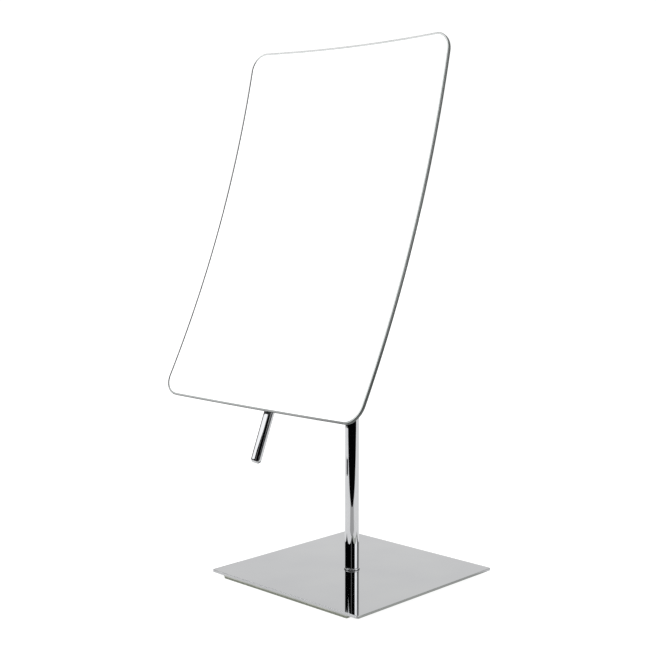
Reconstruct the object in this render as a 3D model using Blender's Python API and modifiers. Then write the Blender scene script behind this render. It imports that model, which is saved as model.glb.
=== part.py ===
"""Countertop mirror: a rimless, dished rectangular glass on a chromed post with a square base.

The glass head tilts on a bolt through the post's knuckle, the knuckle swivels on a grooved spigot, and a
handle rod reaches below the glass. Metres, +Z up. The origin is where the post's axis meets the table, and
the glass faces -Y.
"""

import math

import bmesh
import bpy
from mathutils import Matrix

# Driving dimensions
BASE_SIDE = 0.140
BASE_CORNER = 0.0015
PLATE_THICKNESS = 0.0018
BALLAST_SIZE = (0.119, 0.1378)
BALLAST_THICKNESS = 0.0010
PAD_SIZE = (0.118, 0.1370)
PAD_THICKNESS = 0.0014
PAD_CORNER = 0.0010
POST_RADIUS = 0.0050
POST_WALL = 0.0012
GLASS_WIDTH = 0.184
GLASS_HEIGHT = 0.257
GLASS_CORNER = 0.013
GLASS_THICKNESS = 0.0024
GLASS_CURVATURE = 0.840
TILT_AT_REST = math.radians(20)
PIVOT_HEIGHT = 0.2332
FACE_TO_PIVOT = 0.0399
HANDLE_RADIUS = 0.0035
HANDLE_END = 0.1618
HANDLE_END_ROUND = 0.0024

# Gaps between pieces that touch, and the clearance of what turns
LAYER_GAP = 0.0002
THREAD_GAP = 0.00015
RUNNING_GAP = 0.00008

# Heights on the base and post
PAD_TOP = PAD_THICKNESS
BALLAST_BOTTOM = PAD_TOP + LAYER_GAP / 2
BALLAST_TOP = BALLAST_BOTTOM + BALLAST_THICKNESS
PLATE_BOTTOM = BALLAST_TOP + LAYER_GAP / 2
PLATE_TOP = PLATE_BOTTOM + PLATE_THICKNESS
RING_BOTTOM = PLATE_TOP + LAYER_GAP / 2
RING_THICKNESS = 0.0009
RING_RADIUS = POST_RADIUS + 0.0006
TUBE_BOTTOM = RING_BOTTOM + RING_THICKNESS + LAYER_GAP / 2
TUBE_TOP = 0.2090
TUBE_BORE = POST_RADIUS - POST_WALL
PLUG_LENGTH = 0.022
STUB_LENGTH = 0.020
COLLAR_TOP = TUBE_TOP + LAYER_GAP + 0.0018

# Screw under the base, M5 countersunk
POST_SCREW_RADIUS = 0.0025
POST_SCREW_HEAD_RADIUS = 0.0047
POST_SCREW_LENGTH = 0.016
POST_SCREW_SOCKET = 0.0016

# Swivel spigot, bush and knuckle
SPIGOT_RADIUS = 0.00347
SPIGOT_TOP = 0.2212
GROOVE_HEIGHT = 0.2165
GROOVE_WIDTH = 0.0026
GROOVE_RADIUS = 0.0027
SWIVEL_WASHER_THICKNESS = 0.0008
KNUCKLE_BOTTOM = COLLAR_TOP + SWIVEL_WASHER_THICKNESS + 2 * LAYER_GAP
KNUCKLE_RADIUS = 0.0080
KNUCKLE_TOP = PIVOT_HEIGHT - 0.0100
BUSH_WALL = 0.00095
TONGUE_HALF_WIDTH = 0.0045
TONGUE_RADIUS = 0.0080
SET_SCREW_RADIUS = 0.00145

# Tilt bolt and the hub's ears, measured along X
BOLT_RADIUS = 0.0025
BOLT_HEAD_RADIUS = 0.0048
BOLT_HEAD_LENGTH = 0.0027
TILT_BUSH_RADIUS = 0.0040
FRICTION_WASHER_THICKNESS = 0.0010
FRICTION_WASHER_RADIUS = 0.0070
EAR_INNER = TONGUE_HALF_WIDTH + FRICTION_WASHER_THICKNESS + 2 * LAYER_GAP
EAR_THICKNESS = 0.0035
EAR_OUTER = EAR_INNER + EAR_THICKNESS
EAR_RADIUS = 0.0075
EAR_ROOT_HALF_HEIGHT = 0.0100
SPRING_WASHER_THICKNESS = 0.0009
NUT_ACROSS_FLATS = 0.0080
NUT_HEX_LENGTH = 0.0034

# Layers behind the glass, measured back from its face at the centre
TAPE_THICKNESS = 0.0006
TAPE_SIZE = (0.026, 0.210)
TAPE_X = 0.058
SHELL_THICKNESS = 0.0012
SHELL_INSET = 0.0040
SHELL_CORNER = 0.010
TAPE_FRONT = GLASS_THICKNESS + LAYER_GAP
SHELL_FRONT = TAPE_FRONT + TAPE_THICKNESS + LAYER_GAP
GASKET_FRONT = SHELL_FRONT + SHELL_THICKNESS + LAYER_GAP
GASKET_THICKNESS = 0.0008
HUB_FRONT = GASKET_FRONT + GASKET_THICKNESS + LAYER_GAP
HUB_THICKNESS = 0.0035
HUB_BACK = HUB_FRONT + HUB_THICKNESS
HUB_RADIUS = 0.023
STUD_PLACES = [(x, z) for x in (-0.0145, 0.0145) for z in (-0.011, 0.011)]
STUD_RADIUS = 0.0014
NUT_SIZE = 0.0055
NUT_THICKNESS = 0.0024

# Handle rod and its foot, near the glass's lower edge; distances are below the glass's centre
HANDLE_DEPTH = 0.0020
HANDLE_TOP = 0.1088
HANDLE_LEAN = math.radians(1.7)
FOOT_CENTRE = 0.1146
FOOT_HEIGHT = 0.0160
FOOT_WIDTH = 0.0300
FOOT_THICKNESS = 0.0022
FOOT_BOSS_WIDTH = 0.0120
FOOT_BOSS_BACK = HANDLE_DEPTH + HANDLE_RADIUS + 0.0022
FOOT_STUD_X = 0.0105
HANDLE_SCREW_RADIUS = 0.00125

FINE_STEPS = 40
COARSE_STEPS = 28
CORNER_POINTS = 6

MATERIALS = {
    "chrome": ((0.78, 0.79, 0.81), 0.06, 1.0),
    "steel": ((0.50, 0.51, 0.52), 0.35, 1.0),
    "mirror_glass": ((0.93, 0.94, 0.95), 0.01, 1.0),
    "black_paint": ((0.02, 0.02, 0.022), 0.45, 0.0),
    "nylon": ((0.78, 0.77, 0.72), 0.45, 0.0),
    "rubber": ((0.03, 0.03, 0.03), 0.75, 0.0),
    "pad_foam": ((0.42, 0.43, 0.36), 0.85, 0.0),
    "tape": ((0.70, 0.70, 0.68), 0.70, 0.0),
}


def clear_scene():
    for old in list(bpy.data.objects):
        bpy.data.objects.remove(old)


def new_collection(name):
    made = bpy.data.collections.new(name)
    bpy.context.scene.collection.children.link(made)
    return made


def make_material(name):
    colour, roughness, metallic = MATERIALS[name]
    made = bpy.data.materials.new(name)
    made.use_nodes = True
    shader = made.node_tree.nodes["Principled BSDF"]
    shader.inputs["Base Color"].default_value = (*colour, 1)
    shader.inputs["Roughness"].default_value = roughness
    shader.inputs["Metallic"].default_value = metallic
    return made


def make_empty(name, location, rotation=(0, 0, 0)):
    made = bpy.data.objects.new(name, None)
    made.location = location
    made.rotation_euler = rotation
    made.empty_display_size = 0.02
    PARTS.objects.link(made)
    return made


def place(obj, parent=None, location=(0, 0, 0), rotation=(0, 0, 0)):
    obj.parent = parent
    obj.location = location
    obj.rotation_euler = rotation
    return obj


def add_part(name, mesh, material):
    mesh.materials.append(SHADES[material])
    made = bpy.data.objects.new(name, mesh)
    PARTS.objects.link(made)
    return made


def smooth(obj, angle=35):
    obj.data.shade_smooth()
    obj.data.set_sharp_from_angle(angle=math.radians(angle))


def make_cutter(name, mesh):
    made = bpy.data.objects.new(name, mesh)
    made.hide_render = True
    made.display_type = "WIRE"
    CUTTERS.objects.link(made)
    return made


def combine(obj, other, operation):
    step = obj.modifiers.new(operation.lower() + "_" + other.name, "BOOLEAN")
    step.operation = operation
    step.object = other


def profile_mesh(name, profile, closed):
    """A flat outline of (radius, height) points for the Screw modifier to turn about Z."""
    mesh = bpy.data.meshes.new(name)
    points = [(radius, 0, height) for radius, height in profile]
    edges = [(i, i + 1) for i in range(len(points) - 1)]
    if closed:
        edges.append((len(points) - 1, 0))
    mesh.from_pydata(points, edges, [])
    return mesh


def turn(obj, steps):
    screw = obj.modifiers.new("turn", "SCREW")
    screw.axis = "Z"
    screw.steps = steps
    screw.render_steps = steps
    screw.use_merge_vertices = True
    screw.merge_threshold = 0.00001


def solid_profile(radius, bottom, top, chamfer=0.0):
    """A cylinder's outline, running down its outer side, with both edges chamfered."""
    if not chamfer:
        return [(0, top), (radius, top), (radius, bottom), (0, bottom)]
    rim = radius - chamfer
    return [
        (0, top), (rim, top), (radius, top - chamfer),
        (radius, bottom + chamfer), (rim, bottom), (0, bottom),
    ]


def ring_profile(inner, outer, bottom, top, chamfer=0.0):
    """A ring's closed outline, with the two outer edges chamfered."""
    if not chamfer:
        return [(outer, top), (outer, bottom), (inner, bottom), (inner, top)]
    rim = outer - chamfer
    return [
        (rim, top), (outer, top - chamfer), (outer, bottom + chamfer),
        (rim, bottom), (inner, bottom), (inner, top),
    ]


def turned_part(name, profile, material, closed=False, steps=COARSE_STEPS):
    made = add_part(name, profile_mesh(name, profile, closed), material)
    turn(made, steps)
    return made


def baked(obj):
    """The object's mesh as its modifiers leave it."""
    bpy.context.view_layer.update()
    graph = bpy.context.evaluated_depsgraph_get()
    return bpy.data.meshes.new_from_object(obj.evaluated_get(graph))


def turned_mesh(name, profile, closed=False, steps=COARSE_STEPS):
    """A turned shape as a plain mesh, for cutters and for shapes that are joined."""
    draft = make_cutter(name + "_draft", profile_mesh(name, profile, closed))
    turn(draft, steps)
    mesh = baked(draft)
    bpy.data.objects.remove(draft)
    return mesh


def cylinder_mesh(name, radius, bottom, top, steps=COARSE_STEPS):
    return turned_mesh(name, solid_profile(radius, bottom, top), steps=steps)


def moved(mesh, *transforms):
    for transform in transforms:
        mesh.transform(transform)
    return mesh


def joined(name, meshes):
    """Several separate solids in one mesh."""
    form = bmesh.new()
    for mesh in meshes:
        form.from_mesh(mesh)
    result = bpy.data.meshes.new(name)
    form.to_mesh(result)
    form.free()
    return result


def prism_mesh(name, outline, thickness):
    """A flat outline of (x, y) points, filled and given a thickness about z = 0."""
    curve = bpy.data.curves.new(name, "CURVE")
    curve.dimensions = "2D"
    curve.fill_mode = "BOTH"
    curve.extrude = thickness / 2
    spline = curve.splines.new("POLY")
    spline.points.add(len(outline) - 1)
    for point, (x, y) in zip(spline.points, outline):
        point.co = (x, y, 0, 1)
    spline.use_cyclic_u = True
    draft = make_cutter(name + "_draft", curve)
    mesh = baked(draft)
    bpy.data.objects.remove(draft)
    form = bmesh.new()
    form.from_mesh(mesh)
    bmesh.ops.remove_doubles(form, verts=form.verts, dist=0.000001)
    form.to_mesh(mesh)
    form.free()
    return mesh


def arc(centre, radius, start, end, count):
    """Points on an arc, from start to end in degrees."""
    turns = [math.radians(start + (end - start) * i / (count - 1)) for i in range(count)]
    return [(centre[0] + radius * math.cos(t), centre[1] + radius * math.sin(t)) for t in turns]


def rounded_rectangle(width, height, radius):
    x, y = width / 2 - radius, height / 2 - radius
    corners = [((x, y), 0), ((-x, y), 90), ((-x, -y), 180), ((x, -y), 270)]
    return [p for c, start in corners for p in arc(c, radius, start, start + 90, CORNER_POINTS)]


def hexagon(across_flats):
    radius = across_flats / math.sqrt(3)
    return arc((0, 0), radius, 0, 300, 6)


ALONG_X = Matrix.Rotation(math.pi / 2, 4, "Y")
ALONG_Y = Matrix.Rotation(-math.pi / 2, 4, "X")


def shift(x=0.0, y=0.0, z=0.0):
    return Matrix.Translation((x, y, z))


def dish_depth(x, z):
    """How far the dished glass stands forward of its centre."""
    return GLASS_CURVATURE - math.sqrt(GLASS_CURVATURE**2 - x * x - z * z)


def behind_face(depth):
    """The head's local y for a distance behind the centre of the glass's face."""
    return depth - FACE_TO_PIVOT


def dished_sheet(name, width, height, depth, thickness, cells, centre=(0, 0)):
    """A sheet that follows the glass's dish, its front surface at a depth behind the face."""
    form = bmesh.new()
    bmesh.ops.create_grid(form, x_segments=cells[0], y_segments=cells[1], size=0.5)
    for vertex in form.verts:
        x = centre[0] + vertex.co.x * width
        z = centre[1] + vertex.co.y * height
        vertex.co = (x, behind_face(depth) - dish_depth(x, z), z)
    mesh = bpy.data.meshes.new(name)
    form.to_mesh(mesh)
    form.free()
    draft = make_cutter(name + "_draft", mesh)
    solidify = draft.modifiers.new("thickness", "SOLIDIFY")
    solidify.thickness = thickness
    solidify.offset = -1
    result = baked(draft)
    bpy.data.objects.remove(draft)
    return result


def dished_panel(name, size, corner, depth, thickness, cells, material):
    """A dished sheet trimmed to a rounded rectangle."""
    margin = 1.04
    sheet = dished_sheet(name, size[0] * margin, size[1] * margin, depth, thickness, cells)
    panel = add_part(name, sheet, material)
    trim = prism_mesh(name + "_trim", rounded_rectangle(*size, corner), 0.08)
    trim = moved(trim, ALONG_Y, shift(y=behind_face(depth)))
    combine(panel, make_cutter(name + "_trim", trim), "INTERSECT")
    return panel


# Base and post


def make_base():
    """Chromed plate over a ballast plate and a foam pad, held to the post by one countersunk screw."""
    layers = (
        ("base_plate", (BASE_SIDE, BASE_SIDE), BASE_CORNER, PLATE_BOTTOM, PLATE_THICKNESS, "chrome"),
        ("ballast_plate", BALLAST_SIZE, PAD_CORNER, BALLAST_BOTTOM, BALLAST_THICKNESS, "steel"),
        ("base_pad", PAD_SIZE, PAD_CORNER, 0.0, PAD_THICKNESS, "pad_foam"),
    )
    for name, size, corner, bottom, thickness, material in layers:
        mesh = prism_mesh(name, rounded_rectangle(*size, corner), thickness)
        layer = add_part(name, mesh, material)
        place(layer, location=(0, 0, bottom + thickness / 2))
        if name != "base_pad":
            combine(layer, SCREW_CLEARANCE, "DIFFERENCE")


def screw_clearance():
    """The countersunk hole that both plates share."""
    head = POST_SCREW_HEAD_RADIUS + THREAD_GAP
    shank = POST_SCREW_RADIUS + THREAD_GAP
    cone_top = BALLAST_BOTTOM + head - shank
    profile = [
        (0, PLATE_TOP + 0.001), (shank, PLATE_TOP + 0.001), (shank, cone_top),
        (head, BALLAST_BOTTOM), (head, 0.0003), (0, 0.0003),
    ]
    return make_cutter("screw_clearance", turned_mesh("screw_clearance", profile))


def make_post_screw():
    head_bottom = BALLAST_BOTTOM
    cone_top = head_bottom + POST_SCREW_HEAD_RADIUS - POST_SCREW_RADIUS
    tip = head_bottom + POST_SCREW_LENGTH
    profile = [
        (0, tip), (POST_SCREW_RADIUS - 0.0006, tip), (POST_SCREW_RADIUS, tip - 0.0006),
        (POST_SCREW_RADIUS, cone_top), (POST_SCREW_HEAD_RADIUS, head_bottom),
        (0, head_bottom),
    ]
    screw = add_part("post_screw", turned_mesh("post_screw", profile), "steel")
    socket = prism_mesh("post_screw_socket", hexagon(0.003), 2 * POST_SCREW_SOCKET)
    combine(screw, make_cutter("post_screw_socket", moved(socket, shift(z=head_bottom))), "DIFFERENCE")


def make_post():
    ring = ring_profile(
        POST_SCREW_RADIUS + THREAD_GAP, RING_RADIUS, RING_BOTTOM, RING_BOTTOM + RING_THICKNESS, 0.0002
    )
    smooth(turned_part("post_ring", ring, "chrome", closed=True, steps=FINE_STEPS))
    tube = ring_profile(TUBE_BORE, POST_RADIUS, TUBE_BOTTOM, TUBE_TOP)
    smooth(turned_part("post_tube", tube, "chrome", closed=True, steps=FINE_STEPS))
    plug_radius = TUBE_BORE - RUNNING_GAP
    plug = ring_profile(
        POST_SCREW_RADIUS + THREAD_GAP, plug_radius, TUBE_BOTTOM, TUBE_BOTTOM + PLUG_LENGTH
    )
    turned_part("post_foot_plug", plug, "steel", closed=True)
    make_spigot(plug_radius)


def make_spigot(stub_radius):
    """Pressed into the tube's top; its grooved journal carries the knuckle."""
    half = GROOVE_WIDTH / 2
    profile = [
        (0, SPIGOT_TOP), (SPIGOT_RADIUS - 0.0005, SPIGOT_TOP), (SPIGOT_RADIUS, SPIGOT_TOP - 0.0005),
        (SPIGOT_RADIUS, GROOVE_HEIGHT + half), (GROOVE_RADIUS, GROOVE_HEIGHT + half),
        (GROOVE_RADIUS, GROOVE_HEIGHT - half), (SPIGOT_RADIUS, GROOVE_HEIGHT - half),
        (SPIGOT_RADIUS, COLLAR_TOP), (POST_RADIUS, COLLAR_TOP), (POST_RADIUS, TUBE_TOP + LAYER_GAP),
        (stub_radius, TUBE_TOP + LAYER_GAP), (stub_radius, TUBE_TOP - STUB_LENGTH),
        (0, TUBE_TOP - STUB_LENGTH),
    ]
    smooth(turned_part("swivel_spigot", profile, "chrome", steps=32))


# Swivel knuckle on the post's top. Its pieces turn about Z with the empty they are parented to.


def make_swivel():
    frame = make_empty("swivel_axis", (0, 0, KNUCKLE_BOTTOM))
    down = shift(z=-KNUCKLE_BOTTOM)
    washer = ring_profile(
        SPIGOT_RADIUS + RUNNING_GAP, 0.0066, COLLAR_TOP + LAYER_GAP,
        COLLAR_TOP + LAYER_GAP + SWIVEL_WASHER_THICKNESS,
    )
    bush = ring_profile(
        SPIGOT_RADIUS + RUNNING_GAP, SPIGOT_RADIUS + RUNNING_GAP + BUSH_WALL,
        KNUCKLE_BOTTOM + LAYER_GAP, SPIGOT_TOP,
    )
    for name, profile in (("swivel_washer", washer), ("swivel_bush", bush)):
        mesh = moved(turned_mesh(name, profile, closed=True, steps=32), down)
        place(add_part(name, mesh, "nylon"), frame)
    combine(bpy.data.objects["swivel_bush"], radial_hole(frame), "DIFFERENCE")
    make_knuckle(frame, down)
    make_set_screw(frame, down)
    tilt_bush = ring_profile(
        BOLT_RADIUS + RUNNING_GAP, TILT_BUSH_RADIUS, -TONGUE_HALF_WIDTH, TONGUE_HALF_WIDTH
    )
    part = turned_part("tilt_bush", tilt_bush, "nylon", closed=True)
    place(part, frame, (0, 0, PIVOT_HEIGHT - KNUCKLE_BOTTOM), (0, math.pi / 2, 0))


def radial_hole(frame):
    """The set screw's hole through the knuckle's back and the bush."""
    mesh = cylinder_mesh("radial_hole", SET_SCREW_RADIUS + THREAD_GAP, 0.001, 0.012)
    mesh = moved(mesh, ALONG_Y, shift(z=GROOVE_HEIGHT - KNUCKLE_BOTTOM))
    return place(make_cutter("radial_hole", mesh), frame)


def make_knuckle(frame, down):
    """A turned body for the spigot, with a flat tongue above it for the tilt bolt."""
    body = [
        (0, KNUCKLE_TOP), (KNUCKLE_RADIUS - 0.0015, KNUCKLE_TOP),
        (KNUCKLE_RADIUS - 0.0004, KNUCKLE_TOP - 0.0004), (KNUCKLE_RADIUS, KNUCKLE_TOP - 0.0015),
        (KNUCKLE_RADIUS, KNUCKLE_BOTTOM + 0.0006), (KNUCKLE_RADIUS - 0.0006, KNUCKLE_BOTTOM),
        (0, KNUCKLE_BOTTOM),
    ]
    mesh = moved(turned_mesh("swivel_knuckle", body, steps=FINE_STEPS), down)
    knuckle = place(add_part("swivel_knuckle", mesh, "chrome"), frame)
    pivot = PIVOT_HEIGHT - KNUCKLE_BOTTOM
    half = TONGUE_RADIUS * 0.86
    foot = KNUCKLE_TOP - KNUCKLE_BOTTOM - 0.003
    outline = arc((0, pivot), TONGUE_RADIUS, -20, 200, 19) + [(-half, foot), (half, foot)]
    tongue = prism_mesh("tongue", outline, 2 * TONGUE_HALF_WIDTH)
    upright = Matrix.Rotation(math.pi / 2, 4, "Z") @ Matrix.Rotation(math.pi / 2, 4, "X")
    combine(knuckle, place(make_cutter("tongue", moved(tongue, upright)), frame), "UNION")
    bush_seat = SPIGOT_RADIUS + 2 * RUNNING_GAP + BUSH_WALL
    seat = cylinder_mesh("bush_seat", bush_seat, -0.001, SPIGOT_TOP - KNUCKLE_BOTTOM + 0.0003)
    cross = moved(
        cylinder_mesh("cross_bore", TILT_BUSH_RADIUS + RUNNING_GAP, -0.01, 0.01), ALONG_X, shift(z=pivot)
    )
    for name, cutter in (("bush_seat", seat), ("cross_bore", cross)):
        combine(knuckle, place(make_cutter(name, cutter), frame), "DIFFERENCE")
    combine(knuckle, bpy.data.objects["radial_hole"], "DIFFERENCE")
    smooth(knuckle)


def make_set_screw(frame, down):
    """Holds the knuckle on the spigot: its nylon tip runs in the groove and drags on it."""
    height = GROOVE_HEIGHT - KNUCKLE_BOTTOM
    screw_mesh = cylinder_mesh("swivel_set_screw", SET_SCREW_RADIUS, 0.0040, 0.0076, steps=20)
    screw = add_part("swivel_set_screw", moved(screw_mesh, ALONG_Y, shift(z=height)), "steel")
    place(screw, frame)
    socket = moved(prism_mesh("set_screw_socket", hexagon(0.0015), 0.003), shift(z=0.0076))
    socket = moved(socket, ALONG_Y, shift(z=height))
    combine(screw, place(make_cutter("set_screw_socket", socket), frame), "DIFFERENCE")
    tip = cylinder_mesh("set_screw_tip", 0.00095, GROOVE_RADIUS + 0.0001, 0.0038, steps=16)
    place(add_part("set_screw_tip", moved(tip, ALONG_Y, shift(z=height)), "nylon"), frame)


# The head, modelled upright about the tilt axis and leaned back with the empty it is parented to.


def make_tilt_hardware(frame):
    """One bolt along X through both ears, two friction washers, a spring washer and a cap nut."""
    head_start = EAR_OUTER + LAYER_GAP
    nut_start = EAR_OUTER + SPRING_WASHER_THICKNESS + 2 * LAYER_GAP
    shank_end = nut_start + NUT_HEX_LENGTH
    head = [
        (0.0016, head_start + BOLT_HEAD_LENGTH), (0.0034, head_start + BOLT_HEAD_LENGTH - 0.0003),
        (0.0044, head_start + BOLT_HEAD_LENGTH - 0.0010), (BOLT_HEAD_RADIUS, head_start + 0.0008),
        (BOLT_HEAD_RADIUS, head_start), (BOLT_RADIUS, head_start), (BOLT_RADIUS, -shank_end), (0, -shank_end),
    ]
    bolt_mesh = turned_mesh("tilt_bolt", [(0, head[0][1])] + head)
    bolt = add_part("tilt_bolt", moved(bolt_mesh, ALONG_X), "chrome")
    place(bolt, frame)
    socket = moved(prism_mesh("bolt_socket", hexagon(0.003), 0.003), ALONG_X)
    socket = moved(socket, shift(x=head_start + BOLT_HEAD_LENGTH))
    combine(bolt, place(make_cutter("bolt_socket", socket), frame), "DIFFERENCE")
    smooth(bolt)

    inner = BOLT_RADIUS + THREAD_GAP
    start = TONGUE_HALF_WIDTH + LAYER_GAP
    for name, side in (("friction_washer_left", -1), ("friction_washer_right", 1)):
        ring = ring_profile(inner, FRICTION_WASHER_RADIUS, start, start + FRICTION_WASHER_THICKNESS)
        part = turned_part(name, ring, "nylon", closed=True)
        place(part, frame, rotation=(0, side * math.pi / 2, 0))
    spring = ring_profile(inner, 0.0048, EAR_OUTER + LAYER_GAP, EAR_OUTER + LAYER_GAP + SPRING_WASHER_THICKNESS)
    place(turned_part("tilt_spring_washer", spring, "steel", closed=True), frame, rotation=(0, -math.pi / 2, 0))
    make_cap_nut(frame, nut_start, inner)


def make_cap_nut(frame, start, inner):
    """Hexagon with a domed end, and a blind thread."""
    hexagon_mesh = prism_mesh("tilt_cap_nut", hexagon(NUT_ACROSS_FLATS), NUT_HEX_LENGTH)
    nut = add_part("tilt_cap_nut", moved(hexagon_mesh, shift(z=start + NUT_HEX_LENGTH / 2)), "chrome")
    place(nut, frame, rotation=(0, -math.pi / 2, 0))
    dome_radius = NUT_ACROSS_FLATS / 2 - 0.0003
    base = start + NUT_HEX_LENGTH
    dome = [(dome_radius * math.sin(t), base + dome_radius * math.cos(t)) for t in
            (math.radians(90 * i / 5) for i in range(6))]
    dome_mesh = turned_mesh("nut_dome", dome + [(dome_radius, base - 0.001), (0, base - 0.001)])
    bore_mesh = cylinder_mesh("nut_bore", inner, start - 0.001, base + 0.0012)
    for name, mesh, operation in (("nut_dome", dome_mesh, "UNION"), ("nut_bore", bore_mesh, "DIFFERENCE")):
        combine(nut, place(make_cutter(name, mesh), frame, rotation=(0, -math.pi / 2, 0)), operation)
    smooth(nut)


def make_hub(frame):
    """A round plate with two ears for the tilt bolt."""
    plate = cylinder_mesh("hub_bracket", HUB_RADIUS, 0, HUB_THICKNESS, steps=FINE_STEPS)
    plate = moved(plate, ALONG_Y, shift(y=behind_face(HUB_FRONT)))
    hub = place(add_part("hub_bracket", plate, "chrome"), frame)
    root = -behind_face(HUB_FRONT + HUB_THICKNESS / 2)
    outline = arc((0, 0), EAR_RADIUS, -75, 75, 15)
    outline += [(-root, EAR_ROOT_HALF_HEIGHT), (-root, -EAR_ROOT_HALF_HEIGHT)]
    for name, side in (("ear_left", -1), ("ear_right", 1)):
        ear = moved(
            prism_mesh(name, outline, EAR_THICKNESS),
            Matrix.Rotation(math.pi / 2, 4, "Z") @ Matrix.Rotation(math.pi / 2, 4, "X"),
            shift(x=side * (EAR_INNER + EAR_OUTER) / 2),
        )
        combine(hub, place(make_cutter(name, ear), frame), "UNION")
    bolt_hole = moved(cylinder_mesh("ear_bore", BOLT_RADIUS + THREAD_GAP, -0.02, 0.02), ALONG_X)
    combine(hub, place(make_cutter("ear_bore", bolt_hole), frame), "DIFFERENCE")
    combine(hub, stud_holes(frame), "DIFFERENCE")
    smooth(hub)


def at_studs(name, make_mesh, depth):
    """One copy of a mesh at each stud, its local z pointing backwards."""
    meshes = [
        moved(make_mesh(), ALONG_Y, shift(x, behind_face(depth), z)) for x, z in STUD_PLACES
    ]
    return joined(name, meshes)


def stud_holes(frame):
    mesh = at_studs(
        "stud_holes", lambda: cylinder_mesh("stud_hole", STUD_RADIUS + THREAD_GAP, -0.01, 0.01, 20), HUB_FRONT
    )
    return place(make_cutter("stud_holes", mesh), frame)


def make_glass(frame):
    size = (GLASS_WIDTH, GLASS_HEIGHT)
    glass = dished_panel("mirror_glass", size, GLASS_CORNER, 0.0, GLASS_THICKNESS, (14, 20), "mirror_glass")
    place(glass, frame)
    place(bpy.data.objects["mirror_glass_trim"], frame)
    smooth(glass)


def make_shell(frame):
    """Painted steel back, with weld studs that pass through the hub and through the handle's foot."""
    size = (GLASS_WIDTH - 2 * SHELL_INSET, GLASS_HEIGHT - 2 * SHELL_INSET)
    shell = dished_panel("back_shell", size, SHELL_CORNER, SHELL_FRONT, SHELL_THICKNESS, (14, 20), "black_paint")
    place(shell, frame)
    place(bpy.data.objects["back_shell_trim"], frame)
    stud_end = HUB_BACK + NUT_THICKNESS + 2 * LAYER_GAP
    length = stud_end - SHELL_FRONT - SHELL_THICKNESS / 2
    studs = at_studs(
        "weld_studs", lambda: cylinder_mesh("weld_stud", STUD_RADIUS, 0, length, 20),
        SHELL_FRONT + SHELL_THICKNESS / 2,
    )
    combine(shell, place(make_cutter("weld_studs", studs), frame), "UNION")
    foot_stud_end = FOOT_THICKNESS + NUT_THICKNESS + 3 * LAYER_GAP
    foot_studs = at_foot_studs(
        "foot_studs", lambda: cylinder_mesh("foot_stud", STUD_RADIUS, -SHELL_THICKNESS / 2, foot_stud_end, 20)
    )
    combine(shell, place(make_cutter("foot_studs", foot_studs), frame), "UNION")
    smooth(shell)


def make_tape(frame):
    """Two foam tape strips that bond the glass to the shell."""
    for name, x in (("glass_tape_left", -TAPE_X), ("glass_tape_right", TAPE_X)):
        mesh = dished_sheet(name, *TAPE_SIZE, TAPE_FRONT, TAPE_THICKNESS, (2, 14), (x, 0))
        place(add_part(name, mesh, "tape"), frame)


def make_hub_fasteners(frame):
    gasket_mesh = cylinder_mesh("hub_gasket", HUB_RADIUS - 0.0005, 0, GASKET_THICKNESS, steps=FINE_STEPS)
    gasket = add_part("hub_gasket", moved(gasket_mesh, ALONG_Y, shift(y=behind_face(GASKET_FRONT))), "rubber")
    place(gasket, frame)
    combine(gasket, bpy.data.objects["stud_holes"], "DIFFERENCE")
    for number, (x, z) in enumerate(STUD_PLACES, 1):
        at_stud = shift(x, behind_face(HUB_BACK + LAYER_GAP), z) @ ALONG_Y
        make_nut(f"hub_nut_{number}", at_stud, frame)


def make_nut(name, seat, frame):
    """A nut standing on the seat's z = 0, on a stud along the seat's z."""
    mesh = prism_mesh(name, hexagon(NUT_SIZE), NUT_THICKNESS)
    nut = add_part(name, moved(mesh, shift(z=NUT_THICKNESS / 2), seat), "steel")
    place(nut, frame)
    bore = cylinder_mesh(name + "_bore", STUD_RADIUS + THREAD_GAP, -0.001, NUT_THICKNESS + 0.001, 20)
    combine(nut, place(make_cutter(name + "_bore", moved(bore, seat)), frame), "DIFFERENCE")


def make_handle(frame):
    """A round-ended rod below the glass, in a foot that two nuts hold to the back shell."""
    foot = add_part("handle_foot", prism_mesh("handle_foot", FOOT_OUTLINE, FOOT_THICKNESS), "steel")
    foot.data.transform(FOOT_FACE @ ALONG_Y @ shift(z=LAYER_GAP + FOOT_THICKNESS / 2))
    place(foot, frame)
    front = SHELL_FRONT + SHELL_THICKNESS + LAYER_GAP + FOOT_THICKNESS / 2
    front -= dish_depth(0, FOOT_CENTRE - FOOT_HEIGHT / 2)
    boss_outline = rounded_rectangle(FOOT_BOSS_WIDTH, FOOT_BOSS_BACK - front, 0.0015)
    boss = prism_mesh("foot_boss", boss_outline, FOOT_HEIGHT - 0.001)
    boss = moved(boss, shift(y=behind_face((front + FOOT_BOSS_BACK) / 2), z=-FOOT_CENTRE))
    bore = cylinder_mesh("rod_bore", HANDLE_RADIUS + THREAD_GAP, -0.03, 0)
    bore = moved(bore, shift(z=-HANDLE_TOP + LAYER_GAP), HANDLE_LINE)
    thread = cylinder_mesh("foot_thread", HANDLE_SCREW_RADIUS + THREAD_GAP, 0, 0.012, 16)
    thread = moved(thread, ALONG_Y, shift(y=behind_face(HANDLE_DEPTH), z=-FOOT_CENTRE))
    holes = at_foot_studs("foot_holes", lambda: cylinder_mesh("hole", STUD_RADIUS + THREAD_GAP, -0.004, 0.01, 20))
    steps = (
        ("foot_boss", boss, "UNION"), ("rod_bore", bore, "DIFFERENCE"),
        ("foot_thread", thread, "DIFFERENCE"), ("foot_holes", holes, "DIFFERENCE"),
    )
    for name, mesh, operation in steps:
        combine(foot, place(make_cutter(name, mesh), frame), operation)
    smooth(foot)
    make_handle_rod(frame)
    make_handle_fasteners(frame)


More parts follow.
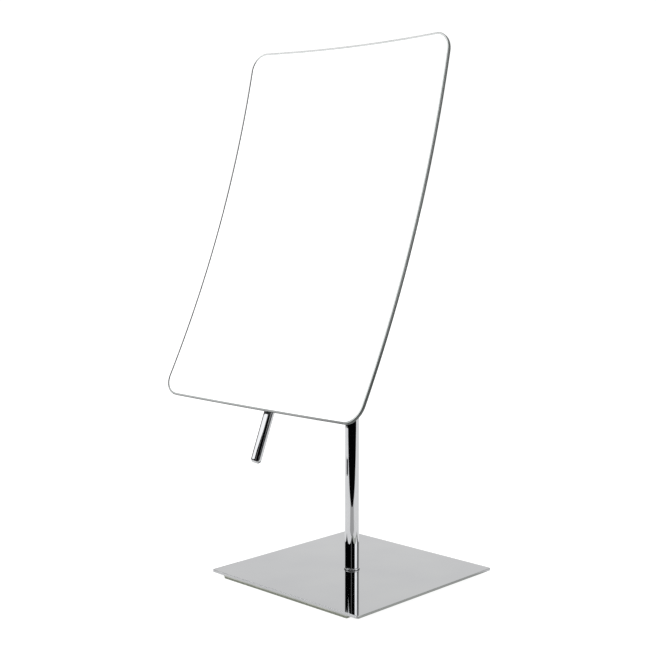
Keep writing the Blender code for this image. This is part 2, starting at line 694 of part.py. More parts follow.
def make_handle_rod(frame):
    top, end = -HANDLE_TOP, -HANDLE_END
    centre = (HANDLE_RADIUS - HANDLE_END_ROUND, end + HANDLE_END_ROUND)
    round_end = arc(centre, HANDLE_END_ROUND, 0, -90, 7)
    profile = [
        (0, top), (HANDLE_RADIUS - 0.0004, top), (HANDLE_RADIUS, top - 0.0004), *round_end, (0, end),
    ]
    rod_mesh = moved(turned_mesh("handle_rod", profile, steps=32), HANDLE_LINE)
    rod = place(add_part("handle_rod", rod_mesh, "chrome"), frame)
    smooth(rod)


def make_handle_fasteners(frame):
    start = HANDLE_RADIUS + LAYER_GAP / 2
    screw_mesh = cylinder_mesh("handle_set_screw", HANDLE_SCREW_RADIUS, start, start + 0.0034, 16)
    at_screw = shift(y=behind_face(HANDLE_DEPTH), z=-FOOT_CENTRE)
    screw = add_part("handle_set_screw", moved(screw_mesh, ALONG_Y, at_screw), "steel")
    place(screw, frame)
    socket = moved(prism_mesh("handle_socket", hexagon(0.0013), 0.0026), shift(z=start + 0.0034))
    combine(screw, place(make_cutter("handle_socket", moved(socket, ALONG_Y, at_screw)), frame), "DIFFERENCE")

    for name, x in (("handle_nut_left", -FOOT_STUD_X), ("handle_nut_right", FOOT_STUD_X)):
        make_nut(name, FOOT_FACE @ shift(x, 2 * LAYER_GAP + FOOT_THICKNESS, 0) @ ALONG_Y, frame)


def at_foot_studs(name, make_mesh):
    """One copy of a mesh on each side of the handle's foot, its local z square to the shell's back."""
    sides = (-FOOT_STUD_X, FOOT_STUD_X)
    return joined(name, [moved(make_mesh(), ALONG_Y, shift(x=x), FOOT_FACE) for x in sides])


# On the shell's back where the handle's foot sits, turned to the dish's slope there
FOOT_SLOPE = math.asin(FOOT_CENTRE / GLASS_CURVATURE)
FOOT_FACE = shift(
    y=behind_face(SHELL_FRONT + SHELL_THICKNESS) - dish_depth(0, FOOT_CENTRE), z=-FOOT_CENTRE
) @ Matrix.Rotation(-FOOT_SLOPE, 4, "X")
FOOT_OUTLINE = rounded_rectangle(FOOT_WIDTH, FOOT_HEIGHT, 0.0040)
# The rod's line, leaned a little forward about the foot from the plane that touches the glass at its centre
HANDLE_LINE = shift(y=behind_face(HANDLE_DEPTH), z=-FOOT_CENTRE) @ Matrix.Rotation(
    -HANDLE_LEAN, 4, "X"
) @ shift(z=FOOT_CENTRE)

clear_scene()
PARTS = new_collection("countertop_mirror")
CUTTERS = new_collection("cutters")
SHADES = {name: make_material(name) for name in MATERIALS}
SCREW_CLEARANCE = screw_clearance()
make_base()
make_post_screw()
make_post()
make_swivel()
HEAD = make_empty("tilt_axis", (0, 0, PIVOT_HEIGHT), (-TILT_AT_REST, 0, 0))
make_tilt_hardware(HEAD)
make_hub(HEAD)
make_glass(HEAD)
make_shell(HEAD)
make_tape(HEAD)
make_hub_fasteners(HEAD)
make_handle(HEAD)
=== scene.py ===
"""Looks for the countertop mirror: chrome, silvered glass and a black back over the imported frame."""

import math

import bmesh
import bpy
from mathutils import Matrix, Vector


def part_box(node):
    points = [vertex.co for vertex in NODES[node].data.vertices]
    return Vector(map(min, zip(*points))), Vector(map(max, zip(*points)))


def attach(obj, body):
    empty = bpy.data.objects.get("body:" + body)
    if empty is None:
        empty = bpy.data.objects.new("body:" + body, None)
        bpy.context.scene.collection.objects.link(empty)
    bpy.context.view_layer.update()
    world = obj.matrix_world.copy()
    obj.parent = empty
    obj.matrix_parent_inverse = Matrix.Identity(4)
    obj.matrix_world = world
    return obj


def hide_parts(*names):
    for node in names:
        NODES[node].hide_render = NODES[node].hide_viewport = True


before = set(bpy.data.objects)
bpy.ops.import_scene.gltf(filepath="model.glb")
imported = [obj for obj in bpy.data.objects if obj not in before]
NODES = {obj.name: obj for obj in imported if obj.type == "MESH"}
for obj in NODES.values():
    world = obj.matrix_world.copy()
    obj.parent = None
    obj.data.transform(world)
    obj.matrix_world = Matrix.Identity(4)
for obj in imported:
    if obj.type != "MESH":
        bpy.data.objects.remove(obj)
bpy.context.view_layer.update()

# Sizes of the frame that the detailed pieces repeat, in metres
PIVOT_HEIGHT = 0.2332
FACE_TO_PIVOT = 0.0399
TILT_AT_REST = math.radians(20)
GLASS_WIDTH = 0.184
GLASS_HEIGHT = 0.257
GLASS_CORNER = 0.013
GLASS_THICKNESS = 0.0024
GLASS_CURVATURE = 0.840
HANDLE_DEPTH = 0.0020
HANDLE_TOP = 0.1088
HANDLE_LEAN = math.radians(1.7)
FOOT_CENTRE = 0.1146
HANDLE_END = 0.1618
HANDLE_END_ROUND = 0.0024
HANDLE_RADIUS = 0.0035
BASE_CORNER = 0.0015
PAD_CORNER = 0.0010

TUBE_WALL = 0.0012
RING_BORE_RADIUS = 0.0030

# Detail that the frame leaves out
GLASS_ARRIS = 0.00035
GLASS_RIM = 0.0015
PLATE_BEVEL = 0.00030
PAD_BEVEL = 0.00020
TUBE_ROUND = 0.0002
RING_ROUND = 0.0003
HANDLE_TOP_ROUND = 0.0004
SOFTENED_EDGE = 0.0002

# Extra rings that keep flat faces and straight walls from shading as if they were bent
FLAT_MARGIN = 0.0006
WALL_MARGIN = 0.0006

# How finely the shapes are divided
ROUND_SEGMENTS = 96
HANDLE_SEGMENTS = 64
HANDLE_END_POINTS = 12
ARC_POINTS = 6
CORNER_STEPS = 14
SIDE_STEPS = (20, 28)
DISH_RINGS = 20
BEVEL_TURNS = tuple(math.radians(turn) for turn in (0, 30, 60, 90))

# Edges sharper than these angles stay sharp
SHARP_MADE = math.radians(35)
SHARP_REFINED = math.radians(30)
SAME_PLANE = math.radians(0.6)
SAME_POINT = 2e-6
ON_AXIS = 1e-7

# Painted shade of the line inside the glass's edge, from its left side to its right, and painted light along
# its top edge
EDGE_BAND_SIDE_PAINTED_SHADE = (
    (0.0, (0.010, 0.011, 0.011)), (0.010, (0.035, 0.037, 0.037)), (0.03, (0.33, 0.34, 0.34)),
    (0.3, (0.30, 0.31, 0.31)),
    (0.7, (0.23, 0.235, 0.235)), (0.93, (0.13, 0.133, 0.133)), (0.99, (0.60, 0.62, 0.62)),
)
EDGE_BAND_TOP_PAINTED_LIGHT = ((0.0, (0.52, 0.53, 0.53)), (1.0, (0.46, 0.47, 0.47)))
TOP_EDGE_LOW = 0.3657
TOP_EDGE_HIGH = 0.3702

# Cards on the table, as distances from the post: painted reflections and painted shade, glowing sheets that
# show only in polished surfaces
CARD_LIFT = 0.0015
SHADE_LIFT = 0.0002
SHADE_GAP = 0.0005
SHADE_REACH = 0.030
LIP_START = 0.101
LIP_NEAR_SIDE = 0.064
LIP_FAR_SIDE = 0.092
TABLE_END = 0.192
ROOM_END = 4.0
ROOM_SIDE = 6.0

# Colour and brightness of the cards: painted reflections that light nothing, the dark ones painted shade in
# the chrome
WHITE = (1.0, 1.0, 1.0)
PAINTED_REFLECTION_GLOWS = {
    "dark_room": ((0.6, 0.62, 0.7), 0.004),
    "dim_strip": ((0.95, 0.97, 1.0), 0.12),
    "panel_left": (WHITE, 1.95),
    "panel_right": (WHITE, 3.2),
    "far_right": (WHITE, 0.5),
    "lip": (WHITE, 0.64),
    "gap": (WHITE, 0.42),
    "edge": (WHITE, 0.30),
    "behind": (WHITE, 0.45),
    "contact_shade": ((0.97, 1.0, 0.94), 0.72),
}

# Upright cards of painted reflection: the glow, the first and last bearing in degrees, the distance, the
# bottom and the top
UPRIGHT_PAINTED_REFLECTIONS = {
    "room_wall_left": ("dark_room", -63, -8, 3.0, 0.0, 1.3),
    "room_wall_right": ("dark_room", -8, 44, 3.0, 0.0, 1.3),
    "room_gap": ("gap", -22, -6, 2.9, 0.0, 1.3),
    "panel_right": ("panel_right", 51, 89, 2.6, 0.0, 2.2),
    "panel_far_right": ("far_right", 89, 150, 2.6, 0.0, 1.5),
    "panel_left": ("panel_left", -113, -66, 2.6, 0.1, 3.0),
    "panel_low_left": ("panel_left", -66, -21, 2.9, 0.97, 1.75),
    "panel_edge": ("edge", -150, -113, 2.6, 0.1, 1.0),
    "strip_left_far": ("dark_room", -135, -98, 0.30, 0.052, 0.136),
    "strip_left_near": ("dark_room", -98, -62, 0.30, 0.052, 0.136),
    "strip_behind": ("behind", -165, -135, 0.5, 0.02, 0.135),
    "strip_low": ("dim_strip", -101, -68, 0.30, 0.006, 0.022),
    "strip_right": ("dim_strip", 40, 100, 0.75, CARD_LIFT, 0.160),
}

# Floor, lamp and surroundings
FLOOR_REACH = 40.0
FLOOR_GLOW = 0.88
FLOOR_GLOSS = 0.1
SURROUND_GLOW = 1.08
LAMP_POWER = 6.0
LAMP_SIZE = 1.2
LAMP_PLACE = (-0.9, -0.8, 1.7)
LAMP_AIM = (0, 0, 0.15)

# Camera
CAMERA_PLACE = (0.5667, -0.6103, 0.2634)
CAMERA_YAW = math.radians(44.044)
CAMERA_PITCH = math.radians(3.803)
CAMERA_LENS = 65.582
CAMERA_SHIFT_Y = -0.0700
CAMERA_SENSOR = 36.0
CAMERA_REACH = 100.0

HEAD = Matrix.Translation((0, 0, PIVOT_HEIGHT)) @ Matrix.Rotation(-TILT_AT_REST, 4, "X")


# Node materials


class Shader:
    """A Principled material and the nodes that feed it, all in object coordinates."""

    def __init__(self, name, **sockets):
        self.material = bpy.data.materials.new(name)
        self.material.use_nodes = True
        self.nodes = self.material.node_tree.nodes
        self.links = self.material.node_tree.links
        self.principled = self.nodes["Principled BSDF"]
        self.coordinates = self.nodes.new("ShaderNodeTexCoord").outputs["Object"]
        for socket, value in sockets.items():
            self.principled.inputs[socket.replace("_", " ")].default_value = value

    def noise(self, scale, detail=3.0, stretch=(1, 1, 1), distortion=0.0):
        mapping = self.nodes.new("ShaderNodeMapping")
        mapping.inputs["Scale"].default_value = stretch
        self.links.new(self.coordinates, mapping.inputs["Vector"])
        texture = self.nodes.new("ShaderNodeTexNoise")
        texture.inputs["Scale"].default_value = scale
        texture.inputs["Detail"].default_value = detail
        texture.inputs["Distortion"].default_value = distortion
        self.links.new(mapping.outputs["Vector"], texture.inputs["Vector"])
        return texture.outputs["Fac"]

    def cells(self, scale):
        texture = self.nodes.new("ShaderNodeTexVoronoi")
        texture.inputs["Scale"].default_value = scale
        self.links.new(self.coordinates, texture.inputs["Vector"])
        return texture.outputs["Distance"]

    def spread(self, value, low, high, low_at=0.35, high_at=0.65):
        """The value, stretched from low_at..high_at to low..high."""
        scale = self.nodes.new("ShaderNodeMapRange")
        scale.inputs["From Min"].default_value = low_at
        scale.inputs["From Max"].default_value = high_at
        scale.inputs["To Min"].default_value = low
        scale.inputs["To Max"].default_value = high
        self.links.new(value, scale.inputs["Value"])
        return scale.outputs["Result"]

    def plus(self, first, second):
        add = self.nodes.new("ShaderNodeMath")
        add.operation = "ADD"
        self.links.new(first, add.inputs[0])
        self.links.new(second, add.inputs[1])
        return add.outputs["Value"]

    def roughness(self, value):
        self.links.new(value, self.principled.inputs["Roughness"])

    def colour(self, value, dark, light):
        self.tint(self.ramp(value, ((0.3, dark), (0.7, light))))

    def axes(self):
        split = self.nodes.new("ShaderNodeSeparateXYZ")
        self.links.new(self.coordinates, split.inputs["Vector"])
        return [split.outputs[axis] for axis in "XYZ"]

    def ramp(self, value, stops):
        made = self.nodes.new("ShaderNodeValToRGB")
        elements = made.color_ramp.elements
        for position, _ in stops[1:-1]:
            elements.new(position)
        for element, (position, colour) in zip(elements, stops):
            element.position = position
            element.color = (*colour, 1)
        self.links.new(value, made.inputs["Fac"])
        return made.outputs["Color"]

    def mix(self, first, second, factor, blend="MIX"):
        """Two colours mixed by a number or by another node's value."""
        made = self.nodes.new("ShaderNodeMix")
        made.data_type = "RGBA"
        made.blend_type = blend
        if isinstance(factor, float):
            made.inputs[0].default_value = factor
        else:
            self.links.new(factor, made.inputs[0])
        self.links.new(first, made.inputs[6])
        self.links.new(second, made.inputs[7])
        return made.outputs[2]

    def tint(self, colour):
        self.links.new(colour, self.principled.inputs["Base Color"])

    def bump(self, value, strength, distance):
        bump = self.nodes.new("ShaderNodeBump")
        bump.inputs["Strength"].default_value = strength
        bump.inputs["Distance"].default_value = distance
        self.links.new(value, bump.inputs["Height"])
        self.links.new(bump.outputs["Normal"], self.principled.inputs["Normal"])


def chrome(name, dark, light, low, high):
    """Polished plate: hazy patches and fine wiping marks in its gloss, and a slight unevenness of colour."""
    made = Shader(name, Metallic=1.0)
    haze = made.spread(made.noise(38.0, 4.0), low, high)
    wiping = made.spread(made.noise(900.0, 2.0, (1, 0.06, 1)), 0.0, 0.012, 0.55, 0.75)
    made.roughness(made.plus(haze, wiping))
    made.colour(made.noise(22.0, 2.0), dark, light)
    return made.material


def silvered_glass():
    made = Shader("mirror_face", Metallic=1.0)
    smudges = made.spread(made.noise(26.0, 5.0, distortion=0.6), 0.0, 0.012, 0.5, 0.8)
    dust = made.spread(made.noise(2400.0, 1.0), 0.0, 0.02, 0.70, 0.80)
    made.roughness(made.plus(smudges, dust))
    made.colour(made.noise(9.0, 2.0), (0.690, 0.700, 0.700), (0.705, 0.715, 0.718))
    return made.material


def glass_rim():
    """The polished edge, where the thickness of the glass shows a deep grey-green."""
    made = Shader("glass_rim", IOR=1.52)
    made.roughness(made.spread(made.noise(300.0, 3.0), 0.10, 0.22))
    made.colour(made.noise(60.0, 3.0), (0.040, 0.046, 0.043), (0.056, 0.064, 0.060))
    made.bump(made.noise(1500.0, 2.0), 0.15, 0.0001)
    return made.material


def glass_line_painted_shade():
    """The band inside the edge where the silvering stops and the ground edge shows, with painted shade that
    darkens it to one side and painted light along the top.
    """
    made = Shader("glass_line_painted_shade", IOR=1.52)
    made.roughness(made.spread(made.noise(220.0, 3.0), 0.08, 0.18))
    across, _, upward = made.axes()
    shade = made.spread(across, 0.0, 1.0, -GLASS_WIDTH / 2, GLASS_WIDTH / 2)
    low = made.ramp(shade, EDGE_BAND_SIDE_PAINTED_SHADE)
    high = made.ramp(shade, EDGE_BAND_TOP_PAINTED_LIGHT)
    top_painted_light_mask = made.spread(upward, 0.0, 1.0, TOP_EDGE_LOW, TOP_EDGE_HIGH)
    wear = made.ramp(made.noise(70.0, 3.0), ((0.3, (0.90, 0.92, 0.91)), (0.7, (1.0, 1.0, 1.0))))
    made.tint(made.mix(made.mix(low, high, top_painted_light_mask), wear, 1.0, "MULTIPLY"))
    return made.material


def black_coating(name, low, high):
    made = Shader(name, IOR=1.5)
    made.roughness(made.spread(made.noise(55.0, 4.0), low, high))
    made.colour(made.noise(120.0, 4.0), (0.008, 0.008, 0.009), (0.014, 0.014, 0.015))
    made.bump(made.noise(1300.0, 3.0), 0.22, 0.0001)
    return made.material


def bright_steel(name, dark, light):
    made = Shader(name, Metallic=1.0)
    made.roughness(made.spread(made.noise(180.0, 4.0), 0.24, 0.40))
    made.colour(made.noise(90.0, 4.0), dark, light)
    made.bump(made.noise(2600.0, 2.0, (1, 1, 0.15)), 0.2, 0.00005)
    return made.material


def moulded(name, dark, light, low, high):
    made = Shader(name, IOR=1.46)
    made.roughness(made.spread(made.noise(260.0, 3.0), low, high))
    made.colour(made.noise(45.0, 3.0), dark, light)
    made.bump(made.noise(2100.0, 2.0), 0.18, 0.0001)
    return made.material


def foam_rubber():
    """Closed cells: a fine pitted skin with lighter crowns."""
    made = Shader("pad_foam", IOR=1.45)
    made.roughness(made.spread(made.noise(400.0, 3.0), 0.75, 0.95))
    made.colour(made.noise(700.0, 4.0), (0.14, 0.15, 0.12), (0.25, 0.265, 0.22))
    made.bump(made.cells(1800.0), 0.5, 0.0003)
    return made.material


CHROME = chrome("chrome", (0.465, 0.47, 0.48), (0.485, 0.49, 0.50), 0.012, 0.030)
# The base plate's chrome is a darker copy of the post's chrome: painted shade for the dimmer look of the
# base
BASE_CHROME_PAINTED_SHADE = chrome("base_chrome_painted_shade", (0.392, 0.396, 0.408), (0.420, 0.426, 0.430), 0.012, 0.03)
MIRROR = silvered_glass()
RIM = glass_rim()
# The glass line's colour is painted shade, with painted light along its top edge
EDGE_BAND_PAINTED_SHADE = glass_line_painted_shade()
BLACK = black_coating("black_back", 0.32, 0.45)
GLASS_BACK = black_coating("glass_back_paint", 0.45, 0.60)
STEEL = bright_steel("zinc_steel", (0.42, 0.43, 0.44), (0.56, 0.57, 0.58))
BALLAST = bright_steel("ballast_steel", (0.30, 0.31, 0.28), (0.42, 0.43, 0.39))
NYLON = moulded("nylon", (0.62, 0.61, 0.56), (0.70, 0.69, 0.64), 0.35, 0.50)
RUBBER = moulded("rubber", (0.018, 0.018, 0.018), (0.030, 0.030, 0.030), 0.65, 0.85)
TAPE = moulded("tape", (0.55, 0.55, 0.53), (0.66, 0.66, 0.64), 0.60, 0.80)
FOAM = foam_rubber()


# Meshes


def add_piece(name, form, materials, body, replaced, sharp=SHARP_MADE):
    """Turns a bmesh into a shaded piece that rides on a body in place of a CAD node."""
    bmesh.ops.recalc_face_normals(form, faces=form.faces)
    mesh = bpy.data.meshes.new(name)
    form.to_mesh(mesh)
    form.free()
    for material in materials:
        mesh.materials.append(material)
    mesh.shade_smooth()
    mesh.set_sharp_from_angle(angle=sharp)
    piece = bpy.data.objects.new(name, mesh)
    bpy.context.scene.collection.objects.link(piece)
    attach(piece, body)
    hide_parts(*replaced)
    return piece


def rounded_rectangle(width, height, radius):
    """Points on a rounded rectangle, the same number at every size, with points along its sides."""
    x, y = width / 2 - radius, height / 2 - radius
    corners = [(x, y), (-x, y), (-x, -y), (x, -y)]
    points = []
    for index, (cx, cy) in enumerate(corners):
        for step in range(CORNER_STEPS + 1):
            turn = math.pi / 2 * (index + step / CORNER_STEPS)
            points.append((cx + radius * math.cos(turn), cy + radius * math.sin(turn)))
        start = Vector(points[-1])
        nx, ny = corners[(index + 1) % 4]
        turn = math.pi / 2 * (index + 1)
        end = Vector((nx + radius * math.cos(turn), ny + radius * math.sin(turn)))
        count = SIDE_STEPS[index % 2]
        points += [tuple(start.lerp(end, step / count)) for step in range(1, count)]
    return points


def bridge(form, first, second, material=0):
    """Quads between two rings of the same length."""
    count = len(first)
    for i in range(count):
        face = form.faces.new((first[i], first[(i + 1) % count], second[(i + 1) % count], second[i]))
        face.material_index = material


def lathe(profile, segments=ROUND_SEGMENTS):
    """A closed (radius, height) outline turned about Z; points on the axis become poles."""
    form = bmesh.new()
    rings = []
    for radius, height in profile:
        if radius < ON_AXIS:
            rings.append([form.verts.new((0, 0, height))])
            continue
        turns = [2 * math.pi * i / segments for i in range(segments)]
        rings.append([form.verts.new((radius * math.cos(t), radius * math.sin(t), height)) for t in turns])
    for first, second in zip(rings, rings[1:] + rings[:1]):
        if len(first) == 1 and len(second) == 1:
            continue
        if len(first) == 1 or len(second) == 1:
            pole, ring = (first, second) if len(first) == 1 else (second, first)
            for i in range(segments):
                form.faces.new((pole[0], ring[i], ring[(i + 1) % segments]))
            continue
        bridge(form, first, second)
    return form


def arc(centre, radius, start, end, count=ARC_POINTS):
    """Points on an arc between two angles in degrees."""
    turns = [math.radians(start + (end - start) * i / (count - 1)) for i in range(count)]
    return [(centre[0] + radius * math.cos(t), centre[1] + radius * math.sin(t)) for t in turns]


def slab(low, high, corner, bevel):
    """A flat plate between two corners, with rounded plan corners and softened upper and lower edges."""
    form = bmesh.new()
    width, depth = high.x - low.x, high.y - low.y
    middle = (low + high) / 2
    lower = [(bevel * (1 - math.sin(t)), low.z + bevel * (1 - math.cos(t))) for t in BEVEL_TURNS]
    upper = [(inset, low.z + high.z - z) for inset, z in reversed(lower)]
    flat = bevel + FLAT_MARGIN
    rings = []
    for inset, z in [(flat, low.z), *lower, *upper, (flat, high.z)]:
        outline = rounded_rectangle(width - 2 * inset, depth - 2 * inset, corner - inset)
        rings.append([form.verts.new((middle.x + x, middle.y + y, z)) for x, y in outline])
    for first, second in zip(rings, rings[1:]):
        bridge(form, first, second)
    form.faces.new(rings[0])
    form.faces.new(rings[-1])
    return form


def dish_depth(x, z):
    """How far the dish stands forward of its centre's plane."""
    return GLASS_CURVATURE - math.sqrt(GLASS_CURVATURE**2 - x * x - z * z)


def dished_ring(form, width, height, radius, depth, share=1.0):
    """A rounded rectangle laid on the dish, scaled about the centre by share."""
    ring = []
    for x, z in rounded_rectangle(width, height, radius):
        x, z = x * share, z * share
        ring.append(form.verts.new((x, depth - FACE_TO_PIVOT - dish_depth(x, z), z)))
    return ring


def dished_panel(width, height, radius, front, thickness, arris, rim, materials):
    """A dished panel with softened edges; materials index its face, its rim band, its edge and its back."""
    form = bmesh.new()
    face, band, edge, back = materials
    fill = [i / DISH_RINGS for i in range(1, DISH_RINGS)]
    cut = arris * 0.3

    def ring(inset, depth, share=1.0):
        return dished_ring(form, width - 2 * inset, height - 2 * inset, radius - inset, front + depth, share)

    inner = [ring(rim, 0, share) for share in fill] + [ring(rim, 0)]
    outer = [ring(arris, 0), ring(cut, cut), ring(0, arris)]
    outer += [ring(0, thickness - arris), ring(cut, thickness - cut), ring(arris, thickness)]
    rear = [ring(arris, thickness, share) for share in reversed(fill)]
    for first, second in zip(inner, inner[1:]):
        bridge(form, first, second, face)
    bridge(form, inner[-1], outer[0], band)
    for first, second in zip(outer, outer[1:]):
        bridge(form, first, second, edge)
    for first, second in zip([outer[-1]] + rear, rear):
        bridge(form, first, second, back)
    for last, depth, material in ((inner[0], front, face), (rear[-1], front + thickness, back)):
        centre = form.verts.new((0, depth - FACE_TO_PIVOT, 0))
        for i in range(len(last)):
            cap = form.faces.new((centre, last[i], last[(i + 1) % len(last)]))
            cap.material_index = material
    bmesh.ops.transform(form, matrix=HEAD, verts=form.verts)
    return form


def refined(node, material, body):
    """A CAD node's own shape with its facets merged, its round faces smoothed and its edges softened."""
    form = bmesh.new()
    form.from_mesh(NODES[node].data)
    bmesh.ops.remove_doubles(form, verts=form.verts, dist=SAME_POINT)
    bmesh.ops.dissolve_limit(form, angle_limit=SAME_PLANE, verts=form.verts, edges=form.edges)
    piece = add_piece(node + "_detail", form, [material], body, [node], SHARP_REFINED)
    soften = piece.modifiers.new("soften", "BEVEL")
    soften.width = SOFTENED_EDGE
    soften.segments = 2
    soften.limit_method = "ANGLE"
    soften.angle_limit = SHARP_REFINED
    soften.harden_normals = True
    soften.use_clamp_overlap = True


# Base and post


def make_base():
    for node, corner, bevel, material, slot in (
        ("base_plate", BASE_CORNER, PLATE_BEVEL, BASE_CHROME_PAINTED_SHADE, "chrome"),
        ("ballast_plate", PAD_CORNER, PAD_BEVEL, BALLAST, "steel"),
        ("base_pad", PAD_CORNER, PAD_BEVEL, FOAM, "pad_foam"),
    ):
        low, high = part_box(node)
        add_piece(node + "_detail", slab(low, high, corner, bevel), [material], "stand", [node])


def turned_ring(low, high, inner, round_off):
    """A ring's outline between two heights: its outer corners rounded, its wall straight between them."""
    outer = high.x
    top = arc((outer - round_off, high.z - round_off), round_off, 90, 0)
    bottom = arc((outer - round_off, low.z + round_off), round_off, 0, -90)
    margin = min(WALL_MARGIN, (high.z - low.z) / 2 - round_off)
    wall = [(outer, high.z - round_off - margin / 2), (outer, low.z + round_off + margin / 2)]
    return [(inner, high.z), *top, *wall, *bottom, (inner, low.z)]


def make_post():
    low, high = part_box("post_tube")
    tube = lathe(turned_ring(low, high, high.x - TUBE_WALL, TUBE_ROUND))
    add_piece("post_tube_detail", tube, [CHROME], "stand", ["post_tube"])
    low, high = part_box("post_ring")
    ring = lathe(turned_ring(low, high, RING_BORE_RADIUS, RING_ROUND))
    add_piece("post_ring_detail", ring, [CHROME], "stand", ["post_ring"])


# Head


def make_glass():
    form = dished_panel(
        GLASS_WIDTH, GLASS_HEIGHT, GLASS_CORNER, 0.0, GLASS_THICKNESS, GLASS_ARRIS, GLASS_RIM, (0, 1, 2, 3)
    )
    materials = [MIRROR, EDGE_BAND_PAINTED_SHADE, RIM, GLASS_BACK]
    add_piece("mirror_glass_detail", form, materials, "mirror_head", ["mirror_glass"])


def make_handle():
    end = (HANDLE_RADIUS - HANDLE_END_ROUND, -HANDLE_END + HANDLE_END_ROUND)
    bottom = arc(end, HANDLE_END_ROUND, 0, -90, HANDLE_END_POINTS)
    start = (HANDLE_RADIUS - HANDLE_TOP_ROUND, -HANDLE_TOP - HANDLE_TOP_ROUND)
    top = arc(start, HANDLE_TOP_ROUND, 90, 0)
    wall = [(HANDLE_RADIUS, top[-1][1] - WALL_MARGIN), (HANDLE_RADIUS, bottom[0][1] + WALL_MARGIN)]
    form = lathe([(0, -HANDLE_TOP), *top, *wall, *bottom[:-1], (0, -HANDLE_END)], HANDLE_SEGMENTS)
    at_foot = Matrix.Translation((0, HANDLE_DEPTH - FACE_TO_PIVOT, -FOOT_CENTRE))
    leaned = at_foot @ Matrix.Rotation(-HANDLE_LEAN, 4, "X") @ Matrix.Translation((0, 0, FOOT_CENTRE))
    bmesh.ops.transform(form, matrix=HEAD @ leaned, verts=form.verts)
    add_piece("handle_rod_detail", form, [CHROME], "mirror_head", ["handle_rod"])


def make_refined():
    stand = (("swivel_spigot", CHROME, "chrome"), ("post_screw", STEEL, "steel"))
    swivel = (
        ("swivel_washer", NYLON, "nylon"), ("swivel_bush", NYLON, "nylon"),
        ("swivel_knuckle", CHROME, "chrome"), ("swivel_set_screw", STEEL, "steel"),
        ("tilt_bush", NYLON, "nylon"),
    )
    head = (
        ("tilt_bolt", CHROME, "chrome"), ("tilt_cap_nut", CHROME, "chrome"),
        ("tilt_spring_washer", STEEL, "steel"), ("friction_washer_left", NYLON, "nylon"),
        ("friction_washer_right", NYLON, "nylon"), ("hub_bracket", CHROME, "chrome"),
        ("hub_nut_1", STEEL, "steel"), ("hub_nut_2", STEEL, "steel"), ("hub_nut_3", STEEL, "steel"),
        ("hub_nut_4", STEEL, "steel"), ("handle_foot", CHROME, "chrome"),
        ("handle_nut_left", STEEL, "steel"), ("handle_nut_right", STEEL, "steel"),
        ("handle_set_screw", STEEL, "steel"), ("back_shell", BLACK, "black_back"),
        ("hub_gasket", RUBBER, "rubber"),
    )
    for body, nodes in (("stand", stand), ("swivel_head", swivel), ("mirror_head", head)):
        for node, material, slot in nodes:
            refined(node, material, body)


def paint_hidden():
    """CAD nodes that keep their own shape take a detailed material."""
    for node, material in (
        ("post_foot_plug", STEEL), ("set_screw_tip", NYLON),
        ("glass_tape_left", TAPE), ("glass_tape_right", TAPE),
    ):
        slots = NODES[node].data.materials
        slots.clear()
        slots.append(material)


# Stage, light and camera


def emission(name):
    colour, strength = PAINTED_REFLECTION_GLOWS[name]
    made = bpy.data.materials.new(name)
    made.use_nodes = True
    nodes = made.node_tree.nodes
    nodes.clear()
    glow = nodes.new("ShaderNodeEmission")
    glow.inputs["Color"].default_value = (*colour, 1)
    glow.inputs["Strength"].default_value = strength
    output = nodes.new("ShaderNodeOutputMaterial")
    made.node_tree.links.new(glow.outputs["Emission"], output.inputs["Surface"])
    return made


def add_card(name, corners, material, seen=False):
    """A flat piece of the stage; unless it is seen, it shows only in polished surfaces, as a painted
    reflection.
    """
    mesh = bpy.data.meshes.new(name)
    mesh.from_pydata(corners, [], [tuple(range(len(corners)))])
    mesh.materials.append(material)
    card = bpy.data.objects.new(name, mesh)
    bpy.context.scene.collection.objects.link(card)
    if not seen:
        card.visible_camera = False
        card.visible_diffuse = False
        card.visible_shadow = False


def towards_camera(forward, side, height):
    """A point given by its distances towards the camera's side of the post, to the right, and up."""
    ahead = Vector((math.sin(CAMERA_YAW), -math.cos(CAMERA_YAW), 0))
    right = Vector((math.cos(CAMERA_YAW), math.sin(CAMERA_YAW), 0))
    return tuple(ahead * forward + right * side + Vector((0, 0, height)))


def make_floor():
    floor = Shader("pale_floor", Roughness=0.6)
    floor.colour(floor.noise(3.0, 2.0), (0.30, 0.30, 0.30), (0.31, 0.31, 0.31))
    floor.principled.inputs["Emission Color"].default_value = (*WHITE, 1)
    floor.principled.inputs["Emission Strength"].default_value = FLOOR_GLOW
    floor.principled.inputs["Specular IOR Level"].default_value = FLOOR_GLOSS
    corners = [(x * FLOOR_REACH, y * FLOOR_REACH, 0) for x, y in ((-1, -1), (1, -1), (1, 1), (-1, 1))]
    add_card("floor", corners, floor.material, seen=True)


def upright(bearing_low, bearing_high, distance, bottom, top):
    """Corners of an upright card between two bearings, in degrees to the right of the camera's direction."""
    points = []
    for bearing in (bearing_low, bearing_high):
        turn = math.radians(bearing)
        points.append((distance * math.cos(turn), distance * math.sin(turn)))
    (f1, s1), (f2, s2) = points
    return [
        towards_camera(f1, s1, bottom), towards_camera(f2, s2, bottom),
        towards_camera(f2, s2, top), towards_camera(f1, s1, top),
    ]


def floor_card(name, near, far, near_side, far_side, material):
    """A card lying just above the floor, from near to far, with its half widths at both ends, shown only as
    a painted reflection.
    """
    corners = [
        towards_camera(near, -near_side, CARD_LIFT), towards_camera(near, near_side, CARD_LIFT),
        towards_camera(far, far_side, CARD_LIFT), towards_camera(far, -far_side, CARD_LIFT),
    ]
    add_card(name, corners, material)


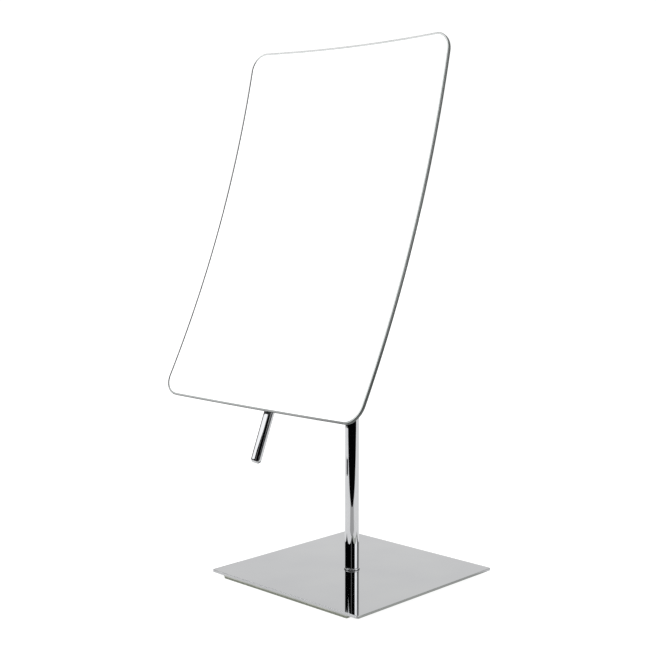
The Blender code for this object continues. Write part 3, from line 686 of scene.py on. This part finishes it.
def make_painted_reflection_cards():
    """Painted reflections for polished metal: glowing cards for a dark room beyond the table's edge, and
    panels and strips beside it, seen in nothing else.
    """
    glows = {name: emission(name) for name in PAINTED_REFLECTION_GLOWS}
    floor_card("table_lip", LIP_START, TABLE_END, LIP_NEAR_SIDE, LIP_FAR_SIDE, glows["lip"])
    floor_card("room_floor", TABLE_END, ROOM_END, ROOM_SIDE, ROOM_SIDE, glows["dark_room"])
    for name, (glow, *place) in UPRIGHT_PAINTED_REFLECTIONS.items():
        add_card(name, upright(*place), glows[glow])
    make_contact_shade(glows["contact_shade"])


def make_contact_shade(material):
    """Painted shade in the plate's polished side: a dim glowing card, so the floor beside the base looks a
    little darker there.
    """
    side = NODES["base_plate"].bound_box
    edge = max(corner[0] for corner in side)
    depth = max(corner[1] for corner in side)
    corners = [
        (edge + SHADE_GAP, -depth, SHADE_LIFT), (edge + SHADE_REACH, -depth, SHADE_LIFT),
        (edge + SHADE_REACH, depth, SHADE_LIFT), (edge + SHADE_GAP, depth, SHADE_LIFT),
    ]
    add_card("contact_shade", corners, material)


def make_light():
    world = bpy.data.worlds.new("studio")
    bpy.context.scene.world = world
    world.use_nodes = True
    background = world.node_tree.nodes["Background"]
    background.inputs["Color"].default_value = (*WHITE, 1)
    background.inputs["Strength"].default_value = SURROUND_GLOW
    key = bpy.data.lights.new("key", "AREA")
    key.energy = LAMP_POWER
    key.size = LAMP_SIZE
    lamp = bpy.data.objects.new("key", key)
    lamp.location = LAMP_PLACE
    lamp.rotation_euler = (Vector(LAMP_AIM) - lamp.location).to_track_quat("-Z", "Y").to_euler()
    bpy.context.scene.collection.objects.link(lamp)


def make_camera():
    camera = bpy.data.cameras.new("camera")
    camera.lens = CAMERA_LENS
    camera.sensor_width = CAMERA_SENSOR
    camera.shift_y = CAMERA_SHIFT_Y
    camera.clip_end = CAMERA_REACH
    eye = bpy.data.objects.new("camera", camera)
    eye.location = CAMERA_PLACE
    eye.rotation_euler = (math.pi / 2 - CAMERA_PITCH, 0, CAMERA_YAW)
    bpy.context.scene.collection.objects.link(eye)
    bpy.context.scene.camera = eye


make_base()
make_post()
make_glass()
make_handle()
make_refined()
paint_hidden()
make_floor()
make_painted_reflection_cards()
make_light()
make_camera()
bpy.context.scene.view_settings.view_transform = "Standard"
